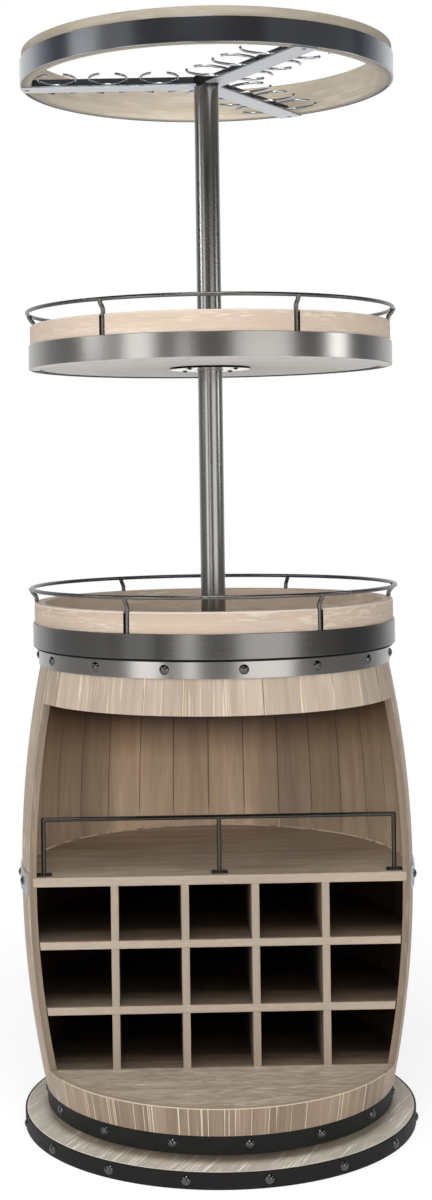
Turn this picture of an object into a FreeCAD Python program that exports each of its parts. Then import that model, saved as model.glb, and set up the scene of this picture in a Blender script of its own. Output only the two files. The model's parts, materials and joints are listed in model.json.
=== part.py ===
"""Barrel bar cabinet on a swivel base, with a tray and a stemware ring on a pole.

Millimetres, +Z up, front towards -Y. The origin is the middle of the base's
underside. A bearing is an angle in degrees seen from above, 0 at the front and
growing towards +X.
"""
import FreeCAD, Part
import math
import os

V = FreeCAD.Vector
UP = V(0, 0, 1)

# --- Base disc and swivel bearing ---
base_r = 362.5            # wooden disc on the floor
base_h = 30.0
base_band_lift = 1.0      # the base band stops this far above the floor
base_rivets = 16
base_rivet_bearing = 10.5
swivel_h = 14.0           # gap between base disc and plinth disc
swivel_plate_t = 3.0
swivel_plate_r = 150.0
swivel_bore_r = 85.0
race_r = 120.0
ball_r = 4.5
ball_count = 24
cage_t = 1.5
cage_half_w = 8.0
ball_play = 0.3           # round every ball
swivel_screws = 4
lower_screw_r = 102.0
upper_screw_r = 138.0

# --- Barrel shell ---
plinth_h = 33.0
plinth_inset = 5.4        # plinth disc inside the stave ends
plinth_rivets = 15
apron_h = 50.0            # stave ends below the floor panel's top
bulge_r = 365.5
bulge_up = 390.0          # bulge above the lower stave ends
stave_arc_r = 1925.0
stave_t = 11.5
stave_count = 30
stave_ease = 0.7          # chamfer on each stave's long edges
opening_bearing = 70.84   # opening's edge on the bulge
opening_h = 667.0
header_h = 62.0           # header below the upper hoop
upper_hoop_h = 32.0
upper_hoop_rivets = 15
mid_hoop_h = 40.0
mid_hoop_drop = 2.5       # hoop's middle below the bulge
mid_hoop_end_gap = 1.5    # degrees from the opening's edge to the hoop's end
rivet_bearing = 6.4       # near a stave's middle
head_reveal = 2.0         # stave end above the upper hoop

# --- Panels, shelves and dividers ---
floor_t = 18.0
batten_w = 60.0
batten_pitch = 170.0
main_shelf_t = 17.0
dado = 6.0                # main shelf's housing in the staves
rack_shelf_t = 14.0
rack_rows = (100.0, 105.0, 100.0)   # clear heights, from the floor up
divider_t = 14.0
divider_pitch = 128.0
divider_setback = 1.5
rack_end_gap = 2.0        # rack shelves stop this far from the staves
panel_gap = 0.5           # dividers stop this far from the staves
panel_ease = 1.5

# --- Gallery rail on the main shelf ---
gallery_end_gap = 19.0    # end posts inside the staves
gallery_setback = 20.0    # post axis behind the shelf's front edge
gallery_h = 102.0         # bar's centre above the shelf
gallery_bar_r = 4.0
gallery_post_r = 4.2
gallery_foot_w = 30.0
gallery_foot_d = 16.0
gallery_foot_t = 3.0
gallery_foot_ease = 4.0
gallery_screw_out = 10.0

# --- Wooden hoops, steel bands and rod rails ---
hoop_wall = 18.0
hoop_ease = 3.0
tall_hoop_h = 81.0
low_hoop_h = 62.0
rim_overhang = 10.0       # rim hoop outside the stave ends
tray_r = 337.5
ring_r = 347.0
band_h = 43.5
band_t = 3.0
band_fit = 0.05          # between a band and the wood inside it
band_ease = 0.6
top_panel_t = 18.0
tray_panel_t = 18.0
tray_recess = 1.5
rail_rise = 25.0          # rod centre above the hoop's top
rail_out = 9.4            # rod centre outside the post axis
rail_rod_r = 3.6
rail_posts = 6
post_r = 4.0
post_lift = 1.5           # post end above the hoop's underside
groove_play = 2.0
post_to_band = 0.2
weld_r = 6.0
weld_h = 5.0
rail_bearing = 30.0
rim_turn = 0.9
tray_turn = -6.0          # the tray as it was screwed to the pole

# --- Pole, flanges and joint ---
pole_r = 23.0
pole_wall = 2.5
pole_lower_len = 490.5
pole_upper_len = 505.5
flange_r = 76.0
flange_t = 4.0
flange_bolts = 4
flange_bolt_r = 61.0
flange_bearing = -41.0
block_half = 120.0
block_t = 24.0
insert_h = 28.0
stud_r = 8.0
stud_grip = 22.0          # stud length inside each insert

# --- Stemware ring ---
ring_turn = -2.5
spoke_bearings = {"left": -90.0, "front": 30.0, "rear": 150.0}
spoke_w = 45.0
spoke_plate_t = 3.0
spoke_web_t = 5.0
spoke_web_h = 17.0
spoke_screw_in = 9.0      # screw inside the ring hoop's outer face
web_end_gap = 0.5
hub_bolt_r = 5.0
clip_rows = 3
clip_pitch = 95.5
clip_inset = 69.0         # outermost clip inside the ring
clip_wire_r = 2.4
clip_loop_r = 34.5
clip_arm = 12.0
clip_mouth = 30.0
clip_lift = 5.5           # wire's centre above the spoke's foot
clip_tilt = 1.8

# --- Fasteners ---
dome_r = 8.7
dome_h = 4.8
shank_r = 2.5
shank_len = 9.0
screw_head_r = 4.5
screw_head_h = 2.5
screw_r = 2.0
screw_len = 14.0
bolt_head_r = 7.5
bolt_r = 4.0
nut_r = 7.5
nut_h = 6.5

# --- Heights that follow ---
plinth_z = base_h + swivel_h
apron_z = plinth_z + plinth_h
floor_z = apron_z + apron_h
header_z = floor_z + opening_h
head_z = header_z + header_h
stave_top = head_z + upper_hoop_h + head_reveal
bulge_z = apron_z + bulge_up
mid_hoop_z = bulge_z - mid_hoop_drop
rack_z = [floor_z]
for clear in rack_rows[:-1]:
    rack_z.append(rack_z[-1] + clear + rack_shelf_t)
shelf_bottom = rack_z[-1] + rack_rows[-1]
shelf_z = shelf_bottom + main_shelf_t
rim_z = stave_top
top_panel_z = rim_z + top_panel_t
tray_panel_z = top_panel_z + flange_t + pole_lower_len + flange_t
tray_z = tray_panel_z - tray_recess
tray_top_z = tray_panel_z + tray_panel_t
spoke_z = tray_top_z + flange_t + pole_upper_len
ring_z = spoke_z + spoke_plate_t
web_top = ring_z + spoke_web_h

# --- Radii and angles that follow ---
stave_angle = 360.0 / stave_count
base_band_r = base_r + band_t
pole_bore_r = pole_r - pole_wall


def wall_r(z, inset=0.0):
    """Radius of the bowed wall at a height, an inset inside its outer face."""
    arc = stave_arc_r - inset
    return bulge_r - stave_arc_r + math.sqrt(arc ** 2 - (z - bulge_z) ** 2)


head_r = wall_r(head_z)
plinth_r = wall_r(apron_z) - plinth_inset
rim_r = head_r + rim_overhang
opening_y = bulge_r * math.cos(math.radians(opening_bearing))
gallery_y = opening_y - gallery_setback
gallery_half = math.sqrt(wall_r(shelf_z, stave_t) ** 2 - gallery_y ** 2) - gallery_end_gap
clip_places = [ring_r - clip_inset - clip_pitch * i for i in range(clip_rows)]


# --- Small makers ---
def polar(radius, bearing, z=0.0):
    """Point at a radius and bearing."""
    a = math.radians(bearing)
    return V(radius * math.sin(a), -radius * math.cos(a), z)


def turned(shape, bearing):
    """Copy of a shape made at the front, turned to a bearing."""
    copy = shape.copy()
    copy.rotate(V(0, 0, 0), UP, bearing)
    return copy


def around(shape, count, first=0.0):
    """Copies of a front shape, evenly spaced round the axis."""
    return [turned(shape, first + 360.0 * i / count) for i in range(count)]


def cylinder(radius, z0, z1, x=0.0, y=0.0):
    return Part.makeCylinder(radius, z1 - z0, V(x, y, z0))


def tube(r_in, r_out, z0, z1):
    return cylinder(r_out, z0, z1).cut(cylinder(r_in, z0, z1))


def block(x0, x1, y0, y1, z0, z1):
    return Part.makeBox(x1 - x0, y1 - y0, z1 - z0, V(x0, y0, z0))


def face_of(points):
    return Part.Face(Part.makePolygon([*points, points[0]]))


def eased(shape, size, wanted):
    """Shape with a fillet on each edge that a test picks."""
    edges = [e for e in shape.Edges if wanted(e)]
    return shape.makeFillet(size, edges)


def cut_all(shape, tools):
    return shape.cut(Part.makeCompound(tools)) if tools else shape


def write(node, shapes):
    """One STEP file for a node, as one solid or a group of separate solids."""
    shapes = shapes if isinstance(shapes, list) else [shapes]
    solids = [solid for shape in shapes for solid in shape.Solids]
    result = solids[0] if len(solids) == 1 else Part.makeCompound(solids)
    result.exportStep("parts/%s.step" % node)


# --- Fasteners, made at the front and pointing inwards or along Z ---
def rivet(radius, z):
    """Domed rivet through a band whose outer face has this radius."""
    ball = (dome_r ** 2 + dome_h ** 2) / (2 * dome_h)
    dome = Part.makeSphere(ball, V(0, -radius - dome_h + ball, z))
    dome = dome.cut(cylinder(radius, z - ball, z + ball))
    shank = Part.makeCylinder(shank_r, shank_len, V(0, -radius - dome_h / 4, z), V(0, 1, 0))
    return dome.fuse(shank).removeSplitter()


def pan_screw(x, y, z, up=1):
    """Wood screw with its head standing on a face, up or down."""
    axis = V(0, 0, up)
    head = Part.makeCylinder(screw_head_r, screw_head_h, V(x, y, z), axis)
    head = eased(head, screw_head_h * 0.6, lambda e: abs(e.BoundBox.Center.z - z) > screw_head_h / 2)
    shank = Part.makeCylinder(screw_r, screw_len, V(x, y, z), axis * -1)
    return head.fuse(shank).removeSplitter()


def sunk_screw(x, y, z, length, up=1, head_r=screw_head_r, r=screw_r):
    """Countersunk screw, flush with a face."""
    axis = V(0, 0, -up)
    depth = head_r - r
    head = Part.makeCone(head_r, r, depth, V(x, y, z), axis)
    shank = Part.makeCylinder(r, length - depth, V(x, y, z) + axis * depth, axis)
    return head.fuse(shank).removeSplitter()


# --- Base and swivel ---
def base_disk():
    disk = cylinder(base_r, 0, base_h)
    return eased(disk, panel_ease, lambda e: e.BoundBox.ZMin > base_h / 2 and e.BoundBox.XLength > base_r)


def band(radius, z0, z1):
    """Flat steel band shrunk on a cylinder of this radius, with eased edges."""
    ring = tube(radius + band_fit, radius + band_t, z0, z1)
    return eased(ring, band_ease, lambda e: e.BoundBox.ZLength < band_ease and
                 e.BoundBox.XLength > 2 * radius + band_t)


def race_groove():
    return Part.makeTorus(race_r, ball_r + ball_play, V(0, 0, base_h + swivel_h / 2))


def swivel_plate(z0):
    return tube(swivel_bore_r, swivel_plate_r, z0, z0 + swivel_plate_t).cut(race_groove())


def swivel_ball():
    return Part.makeSphere(ball_r, polar(race_r, 0, base_h + swivel_h / 2))


def swivel_cage():
    middle = base_h + swivel_h / 2
    ring = tube(race_r - cage_half_w, race_r + cage_half_w, middle - cage_t / 2, middle + cage_t / 2)
    pocket = Part.makeSphere(ball_r + ball_play, polar(race_r, 0, middle))
    return cut_all(ring, around(pocket, ball_count))


def make_base():
    top = base_h
    screws = around(sunk_screw(0, -lower_screw_r, top + swivel_plate_t, screw_len), swivel_screws, 45)
    rivets = around(rivet(base_band_r, base_h / 2), base_rivets, base_rivet_bearing)
    write("base_disk", cut_all(base_disk(), screws + rivets))
    write("base_band", cut_all(band(base_r, base_band_lift, base_h), rivets))
    write("base_rivets", rivets)
    write("swivel_lower_plate", cut_all(swivel_plate(top), screws))
    write("swivel_lower_screws", screws)
    write("swivel_balls", around(swivel_ball(), ball_count))
    write("swivel_cage", swivel_cage())


def make_plinth():
    plate_z = plinth_z - swivel_plate_t
    screws = around(pan_screw(0, -upper_screw_r, plate_z, -1), swivel_screws, 45)
    rivets = around(rivet(plinth_r + band_t, plinth_z + plinth_h / 2), plinth_rivets, rivet_bearing)
    write("swivel_upper_plate", cut_all(swivel_plate(plate_z), screws))
    write("swivel_upper_screws", screws)
    write("plinth_disk", cut_all(cylinder(plinth_r, plinth_z, apron_z), screws + rivets))
    write("plinth_band", cut_all(band(plinth_r, plinth_z, apron_z), rivets))
    write("plinth_rivets", rivets)


# --- Barrel shell ---
def wall_arc(inset, z0, z1):
    """Bowed edge of the wall in the front half plane."""
    ends = [V(0, -wall_r(z, inset), z) for z in (z0, (z0 + z1) / 2, z1)]
    return Part.Arc(*ends).toShape()


def cavity(gap):
    """Everything inside the shell, a gap away from the staves."""
    inset = stave_t + gap
    arc = wall_arc(inset, apron_z, head_z)
    r_low, r_head = wall_r(apron_z, inset), wall_r(head_z, inset)
    rest = Part.makePolygon([V(0, -r_head, head_z), V(0, -r_head, stave_top), V(0, 0, stave_top),
                             V(0, 0, apron_z), V(0, -r_low, apron_z)])
    outline = Part.Wire([arc, *rest.Edges])
    return Part.Face(outline).revolve(V(0, 0, 0), UP, 360)


def full_stave():
    """Stave from bearing 0 to one stave angle, with its long edges chamfered."""
    outer = wall_arc(0, apron_z, head_z)
    inner = wall_arc(stave_t, apron_z, head_z)
    r_in, r_low = wall_r(head_z, stave_t), wall_r(apron_z, stave_t)
    top = Part.makePolygon([V(0, -head_r, head_z), V(0, -head_r, stave_top),
                            V(0, -r_in, stave_top), V(0, -r_in, head_z)])
    foot = Part.makeLine(V(0, -r_low, apron_z), V(0, -wall_r(apron_z), apron_z))
    outline = Part.Wire([outer, *top.Edges, inner, foot])
    solid = Part.Face(outline).revolve(V(0, 0, 0), UP, stave_angle)
    solid = solid if isinstance(solid, Part.Solid) else solid.Solids[0]
    long_edges = [e for e in solid.Edges if e.BoundBox.ZLength > upper_hoop_h / 2]
    return solid.makeChamfer(stave_ease, long_edges)


def opening_cut():
    return block(-2 * bulge_r, 2 * bulge_r, -2 * bulge_r, -opening_y, floor_z, header_z)


def panel(z0, z1, setback=0.0):
    """Panel whose front edge is eased and stands at the opening's plane."""
    front = -opening_y + setback
    board = block(-bulge_r, bulge_r, front, bulge_r, z0, z1)
    return eased(board, panel_ease, lambda e: e.BoundBox.YMax < front + 1e-3 and e.BoundBox.XLength > bulge_r)


def main_shelf():
    return panel(shelf_bottom, shelf_z).common(cavity(-dado))


def shelf_housing():
    board = block(-bulge_r, bulge_r, -opening_y, bulge_r, shelf_bottom, shelf_z)
    return board.common(cavity(-dado))


def upper_hoop_rivet_row():
    z = head_z + upper_hoop_h / 2
    return around(rivet(head_r + band_t, z), upper_hoop_rivets, rivet_bearing)


def mid_hoop_rivet_row():
    one = rivet(bulge_r + band_t, mid_hoop_z)
    first = (math.floor((opening_bearing + mid_hoop_end_gap) / stave_angle) + 0.5) * stave_angle
    count = int(round((360 - 2 * first) / stave_angle)) + 1
    return [turned(one, first + stave_angle * i) for i in range(count)]


def mid_hoop():
    end = opening_bearing + mid_hoop_end_gap
    z0, z1 = mid_hoop_z - mid_hoop_h / 2, mid_hoop_z + mid_hoop_h / 2
    y0, y1 = -bulge_r - band_t, -bulge_r - band_fit
    section = face_of([V(0, y0, z0), V(0, y1, z0), V(0, y1, z1), V(0, y0, z1)])
    section.rotate(V(0, 0, 0), UP, end)
    return section.revolve(V(0, 0, 0), UP, 360 - 2 * end)


def make_staves():
    """Staves in four nodes: behind the opening, beside it, above it and below it."""
    stave = full_stave()
    opening, housing = opening_cut(), shelf_housing()
    fasteners = upper_hoop_rivet_row() + mid_hoop_rivet_row()
    groups = {"back_staves": [], "edge_staves": [], "header_staves": [], "apron_staves": []}
    for i in range(stave_count):
        whole = turned(stave, stave_angle * i)
        near = [r for r in fasteners if r.BoundBox.intersect(whole.BoundBox)]
        pieces = cut_all(whole, [opening, housing, *near]).Solids
        if len(pieces) == 2:
            low, high = sorted(pieces, key=lambda piece: piece.BoundBox.ZMin)
            groups["apron_staves"].append(low)
            groups["header_staves"].append(high)
        else:
            at_front = whole.BoundBox.YMin < -opening_y - stave_ease
            groups["edge_staves" if at_front else "back_staves"] += pieces
    for node, staves in groups.items():
        write(node, staves)


def make_hoops():
    upper, middle = upper_hoop_rivet_row(), mid_hoop_rivet_row()
    write("upper_hoop", cut_all(band(head_r, head_z, head_z + upper_hoop_h), upper))
    write("mid_hoop", cut_all(mid_hoop(), middle))
    write("hoop_rivets", upper + middle)


# --- Panels, shelves and dividers ---
def batten(x):
    low = block(x - batten_w / 2, x + batten_w / 2, -bulge_r, bulge_r, apron_z, floor_z - floor_t)
    return low.common(cavity(2 * stave_t))


def divider(x, z0, z1):
    front = -opening_y + divider_setback
    board = block(x - divider_t / 2, x + divider_t / 2, front, bulge_r, z0, z1)
    board = eased(board, panel_ease / 2, lambda e: e.BoundBox.YMax < front + 1e-3 and
                  e.BoundBox.ZLength > divider_t)
    return board.common(cavity(panel_gap))


def make_panels():
    rack_room = cavity(rack_end_gap)
    shelf_screws = [screw for x in (-gallery_half, 0, gallery_half) for screw in gallery_screws(x)]
    write("floor_battens", [batten(x) for x in (-batten_pitch, 0, batten_pitch)])
    write("floor_panel", cylinder(bulge_r, floor_z - floor_t, floor_z).common(cavity(0)))
    write("main_shelf", cut_all(main_shelf(), shelf_screws))
    for name, row in (("rack_shelf_lower", 1), ("rack_shelf_upper", 2)):
        write(name, panel(rack_z[row] - rack_shelf_t, rack_z[row]).common(rack_room))
    for name, row in (("dividers_bottom_row", 0), ("dividers_middle_row", 1), ("dividers_top_row", 2)):
        z0 = rack_z[row]
        places = [divider_pitch * (i - 1.5) for i in range(4)]
        write(name, [divider(x, z0, z0 + rack_rows[row]) for x in places])


# --- Gallery rail ---
def gallery_screws(x):
    top = shelf_z + gallery_foot_t
    return [pan_screw(x + side * gallery_screw_out, -gallery_y, top) for side in (-1, 1)]


def gallery_foot(x, y):
    half_w, half_d = gallery_foot_w / 2, gallery_foot_d / 2
    plate = block(x - half_w, x + half_w, y - half_d, y + half_d, shelf_z, shelf_z + gallery_foot_t)
    return eased(plate, gallery_foot_ease, lambda e: e.BoundBox.ZLength > gallery_foot_t / 2)


def make_gallery():
    """Welded rail: one bar on three posts, each with a foot plate."""
    y = -gallery_y
    bar_z = shelf_z + gallery_h
    places = (-gallery_half, 0, gallery_half)
    bar = Part.makeCylinder(gallery_bar_r, 2 * gallery_half, V(-gallery_half, y, bar_z), V(1, 0, 0))
    posts = [cylinder(gallery_post_r, shelf_z, bar_z, x, y) for x in places]
    corners = [Part.makeSphere(gallery_post_r, V(x, y, bar_z)) for x in places[::2]]
    feet = [gallery_foot(x, y) for x in places]
    screws = [screw for x in places for screw in gallery_screws(x)]
    write("gallery_rail", cut_all(bar.multiFuse(posts + corners + feet).removeSplitter(), screws))
    write("gallery_screws", screws)


# --- Wooden hoops with their bands and rod rails ---
def post_axis_r(hoop_r):
    return hoop_r - post_to_band - post_r


def grooves(hoop_r, z0, z1, first):
    """Upright grooves in a hoop's outer face, one for each rail post."""
    axis_r = post_axis_r(hoop_r)
    half = post_r + groove_play
    round_end = cylinder(half, z0, z1, 0, -axis_r)
    mouth = block(-half, half, -hoop_r - band_t, -axis_r, z0, z1)
    return around(round_end.fuse(mouth), rail_posts, first)


def wood_hoop(radius, z0, height):
    ring = tube(radius - hoop_wall, radius, z0, z0 + height)
    return eased(ring, hoop_ease, lambda e: e.BoundBox.ZMin > z0 + height - hoop_ease and
                 e.BoundBox.ZLength < hoop_ease)


def rail_ring(hoop_r, top):
    return Part.makeTorus(post_axis_r(hoop_r) + rail_out, rail_rod_r, V(0, 0, top + rail_rise))


def rail_post(hoop_r, z0, top):
    """Rod that stands in its groove and swings out under the rail's ring."""
    y0 = -post_axis_r(hoop_r)
    y1 = y0 - rail_out
    bend_z, end_z = top + rail_rod_r, top + rail_rise
    rise = end_z - bend_z
    bend_r = (rise ** 2 + rail_out ** 2) / (4 * rail_out)
    half_turn = math.asin(min(1.0, rise / 2 / bend_r)) / 2
    dy, dz = bend_r * (1 - math.cos(half_turn)), bend_r * math.sin(half_turn)
    middle = V(0, (y0 + y1) / 2, (bend_z + end_z) / 2)
    foot = V(0, y0, z0 + post_lift)
    path = Part.Wire([
        Part.makeLine(foot, V(0, y0, bend_z)),
        Part.Arc(V(0, y0, bend_z), V(0, y0 - dy, bend_z + dz), middle).toShape(),
        Part.Arc(middle, V(0, y1 + dy, end_z - dz), V(0, y1, end_z)).toShape()])
    section = Part.Wire(Part.makeCircle(post_r, foot, UP))
    rod = path.makePipeShell([section], True, False)
    weld = Part.makeCone(post_r, weld_r, weld_h, V(0, y1, end_z - weld_h))
    return rod.fuse(weld).cut(rail_ring(hoop_r, top)).Solids[0]


def make_railed_hoop(prefix, hoop_r, z0, turn):
    """Wooden hoop, its band, and its rail as a ring with six posts."""
    top = z0 + tall_hoop_h
    first = rail_bearing + turn
    hoop = cut_all(wood_hoop(hoop_r, z0, tall_hoop_h), grooves(hoop_r, z0, top, first))
    write(prefix + "_hoop", hoop)
    write(prefix + "_band", band(hoop_r, z0, z0 + band_h))
    write(prefix + "_rail_ring", rail_ring(hoop_r, top))
    write(prefix + "_rail_posts", around(rail_post(hoop_r, z0, top), rail_posts, first))


# --- Pole, flanges and the joint through the tray ---
def flange_fixings(z, grip, up):
    """Countersunk bolts through a flange and what it is bolted to."""
    bolt = sunk_screw(0, -flange_bolt_r, z, grip, up, bolt_head_r, bolt_r)
    return around(bolt, flange_bolts, flange_bearing)


def flange(z0, bolts):
    plate = cylinder(flange_r, z0, z0 + flange_t)
    plate = eased(plate, flange_t / 4, lambda e: e.BoundBox.XLength > flange_r)
    return cut_all(plate, bolts + [cylinder(stud_r, z0, z0 + flange_t)])


def insert(z0):
    return tube(stud_r, pole_bore_r, z0, z0 + insert_h)


def pole_nut(z):
    hexagon = face_of([polar(nut_r, 60 * i) for i in range(6)])
    nut = hexagon.extrude(V(0, 0, nut_h))
    nut.translate(V(0, -flange_bolt_r, z))
    return nut


def make_pole():
    low_z = top_panel_z + flange_t
    joint_z = low_z + pole_lower_len
    high_z = tray_top_z + flange_t
    under_block = rim_z - block_t
    low_bolts = flange_fixings(low_z, low_z - under_block + nut_h, 1)
    nuts = around(pole_nut(under_block - nut_h), flange_bolts, flange_bearing)
    nuts = [cut_all(nut, low_bolts) for nut in nuts]
    tray_screws = flange_fixings(joint_z, flange_t + tray_panel_t * 0.4, -1)
    high_screws = flange_fixings(high_z, flange_t + tray_panel_t * 0.4, 1)
    stud = cylinder(stud_r, joint_z - stud_grip, high_z + stud_grip)
    panel_r = rim_r - hoop_wall
    write("top_panel", cut_all(cylinder(panel_r, rim_z, top_panel_z), low_bolts))
    backing = block(-block_half, block_half, -block_half, block_half, under_block, rim_z)
    write("pole_backing_block", cut_all(backing, low_bolts))
    write("barrel_flange", flange(top_panel_z, low_bolts))
    write("barrel_flange_bolts", low_bolts + nuts)
    write("pole_lower", tube(pole_bore_r, pole_r, low_z, joint_z))
    write("tray_flanges", [flange(joint_z, tray_screws), flange(tray_top_z, high_screws)])
    write("tray_flange_screws", tray_screws + high_screws)
    tray_disc = cylinder(tray_r - hoop_wall, tray_panel_z, tray_top_z)
    write("tray_panel", cut_all(tray_disc, tray_screws + high_screws + [stud]))
    write("pole_upper", tube(pole_bore_r, pole_r, high_z, spoke_z))
    write("pole_inserts", [insert(joint_z - insert_h), insert(high_z), insert(spoke_z - insert_h)])
    write("pole_stud", stud)


# --- Stemware ring ---
def spoke(screw):
    """Inverted T bar from the hub to the ring, its foot screwed under the wood."""
    mitre = face_of([polar(0, 0, spoke_z), polar(3 * ring_r, -60, spoke_z), polar(3 * ring_r, 60, spoke_z)])
    plate = block(-spoke_w / 2, spoke_w / 2, -ring_r, 0, spoke_z, ring_z)
    plate = plate.common(cylinder(ring_r, spoke_z, ring_z)).common(mitre.extrude(V(0, 0, spoke_plate_t)))
    web_end = ring_r - hoop_wall - web_end_gap
    web = block(-spoke_web_t / 2, spoke_web_t / 2, -web_end, 0, ring_z, web_top)
    return plate.fuse(web).cut(cylinder(pole_r, spoke_z, web_top)).cut(screw).removeSplitter()


def clip(place, side):
    """C shaped wire that stands out level from the web, above the spoke's foot."""
    back = spoke_web_t / 2 + clip_wire_r
    near, far = back + clip_loop_r, back + clip_loop_r + clip_arm
    a = math.asin(clip_mouth / 2 / clip_loop_r)
    mid = (a + math.pi / 2) / 2

    def at(along, out):
        return V(side * out, -place + along, 0)

    def arc(sign, centre, angles):
        return Part.Arc(*[at(sign * clip_loop_r * math.sin(t), centre + clip_loop_r * math.cos(t))
                          for t in angles]).toShape()
    loop = clip_loop_r
    path = Part.Wire([
        arc(-1, far, (a, mid, math.pi / 2)),
        Part.makeLine(at(-loop, far), at(-loop, near)),
        arc(1, near, (-math.pi / 2, math.pi, math.pi / 2)),
        Part.makeLine(at(loop, near), at(loop, far)),
        arc(1, far, (math.pi / 2, mid, a))])
    start = path.OrderedEdges[0]
    tip = start.valueAt(start.FirstParameter)
    along = start.tangentAt(start.FirstParameter)
    wire = path.makePipeShell([Part.Wire(Part.makeCircle(clip_wire_r, tip, along))], True, False)
    wire.rotate(V(side * back, -place, 0), V(0, 1, 0), -side * clip_tilt)
    wire.translate(V(0, 0, ring_z + clip_lift))
    return wire


def make_ring():
    screw = sunk_screw(0, -(ring_r - spoke_screw_in), spoke_z, screw_len, -1)
    turns = {name: bearing + ring_turn for name, bearing in spoke_bearings.items()}
    clips = [clip(place, side) for place in clip_places for side in (-1, 1)]
    for name, turn in turns.items():
        write("spoke_" + name, turned(spoke(screw), turn))
        write("glass_clips_" + name, [turned(one, turn) for one in clips])
    screws = [turned(screw, turn) for turn in turns.values()]
    write("spoke_screws", screws)
    write("ring_hoop", cut_all(wood_hoop(ring_r, ring_z, low_hoop_h), screws))
    write("ring_band", band(ring_r, ring_z, ring_z + band_h))
    hub_bolt = cylinder(hub_bolt_r, spoke_z - insert_h, web_top)
    head = Part.makeCylinder(2 * hub_bolt_r, hub_bolt_r, V(0, 0, web_top))
    head = eased(head, hub_bolt_r / 2, lambda e: e.BoundBox.ZMin > web_top + hub_bolt_r / 2)
    write("hub_block", cylinder(pole_r, spoke_z, web_top).cut(hub_bolt))
    write("hub_bolt", hub_bolt.fuse(head).removeSplitter())


def main():
    os.makedirs("parts", exist_ok=True)
    make_base()
    make_plinth()
    make_staves()
    make_hoops()
    make_panels()
    make_gallery()
    make_railed_hoop("rim", rim_r, rim_z, rim_turn)
    make_railed_hoop("tray", tray_r, tray_z, tray_turn)
    make_pole()
    make_ring()


main()
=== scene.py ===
"""Barrel bar cabinet: its finishes, small fittings and studio.

Metres, +Z up, front towards -Y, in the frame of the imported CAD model. A bearing is an
angle in degrees seen from above, 0 at the front and growing towards +X.
"""
import json
import math

import bmesh
import bpy
from mathutils import Matrix, Vector


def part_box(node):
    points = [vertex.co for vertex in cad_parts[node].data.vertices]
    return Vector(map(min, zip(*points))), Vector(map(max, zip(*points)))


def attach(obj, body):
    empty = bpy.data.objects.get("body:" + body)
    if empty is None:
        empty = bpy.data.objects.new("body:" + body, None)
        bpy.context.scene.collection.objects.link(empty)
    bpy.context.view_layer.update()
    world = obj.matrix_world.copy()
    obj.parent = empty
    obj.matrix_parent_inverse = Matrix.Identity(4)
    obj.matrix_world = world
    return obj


bl_info = {
    "name": "Barrel bar cabinet",
    "version": (1, 0, 0),
    "blender": (4, 5, 0),
    "location": "3D View > Sidebar > Bar Cabinet",
    "description": "Finishes, small fittings and studio of a barrel bar cabinet",
    "category": "Object",
}

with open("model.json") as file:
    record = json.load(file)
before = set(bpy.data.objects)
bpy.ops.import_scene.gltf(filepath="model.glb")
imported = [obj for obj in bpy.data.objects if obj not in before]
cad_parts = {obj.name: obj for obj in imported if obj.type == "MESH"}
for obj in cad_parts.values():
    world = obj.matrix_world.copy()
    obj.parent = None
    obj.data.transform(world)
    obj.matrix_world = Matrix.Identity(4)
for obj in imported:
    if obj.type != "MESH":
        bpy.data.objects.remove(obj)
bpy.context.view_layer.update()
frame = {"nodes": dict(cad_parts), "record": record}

MM = 0.001
TURN = 2 * math.pi


# --- Places read from the frame ---
def top_of(node):
    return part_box(node)[1].z


def foot_of(node):
    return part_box(node)[0].z


def radius_of(node):
    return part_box(node)[1].x


# The bowed wall: a stave's angle, the bulge's radius and height, the radius of a stave's arc, its
# thickness, and a depth within it
STAVE_ANGLE = math.radians(12.0)
BULGE_R, BULGE_Z, STAVE_ARC = 0.3655, 0.467, 1.925
STAVE_T, MID_WALL = 11.5 * MM, 6 * MM
OPENING_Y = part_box("main_shelf")[0].y
BAY_DEPTH = 0.22


def wall_r(z, inset=0.0):
    """Radius of the bowed wall at a height, an inset inside its outer face."""
    arc = STAVE_ARC - inset
    return BULGE_R - STAVE_ARC + math.sqrt(arc ** 2 - (z - BULGE_Z) ** 2)


# --- Colour and node helpers ---
def tint(code):
    """Linear RGB of an sRGB hex colour."""
    parts = [int(code[i:i + 2], 16) / 255 for i in (1, 3, 5)]
    return tuple(c / 12.92 if c <= 0.04045 else ((c + 0.055) / 1.055) ** 2.4 for c in parts)


def rgba(colour):
    return (*(tint(colour) if isinstance(colour, str) else colour[:3]), 1.0)


def add(tree, kind, settings=None, links=None):
    """Add a shader node. Lower-case settings are its properties, the others its sockets."""
    node = tree.nodes.new("ShaderNode" + kind)
    for key, value in (settings or {}).items():
        if key == "stops":
            ramp = node.color_ramp.elements
            while len(ramp) < len(value):
                ramp.new(0.5)
            for element, (place, colour) in zip(ramp, value):
                element.position, element.color = place, rgba(colour)
        elif isinstance(key, str) and key.islower():
            setattr(node, key, value)
        else:
            node.inputs[key].default_value = value
    for key, source in (links or {}).items():
        if isinstance(source, bpy.types.Node):
            source = next(s for s in source.outputs if s.enabled)
        tree.links.new(source, node.inputs[key])
    return node


def grey(level):
    return (level, level, level)


def calc(tree, operation, *terms):
    """Math node whose terms are numbers or nodes."""
    settings, links = {"operation": operation}, {}
    for i, term in enumerate(terms):
        (settings if isinstance(term, (int, float)) else links)[i] = term
    return add(tree, "Math", settings, links)


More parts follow.
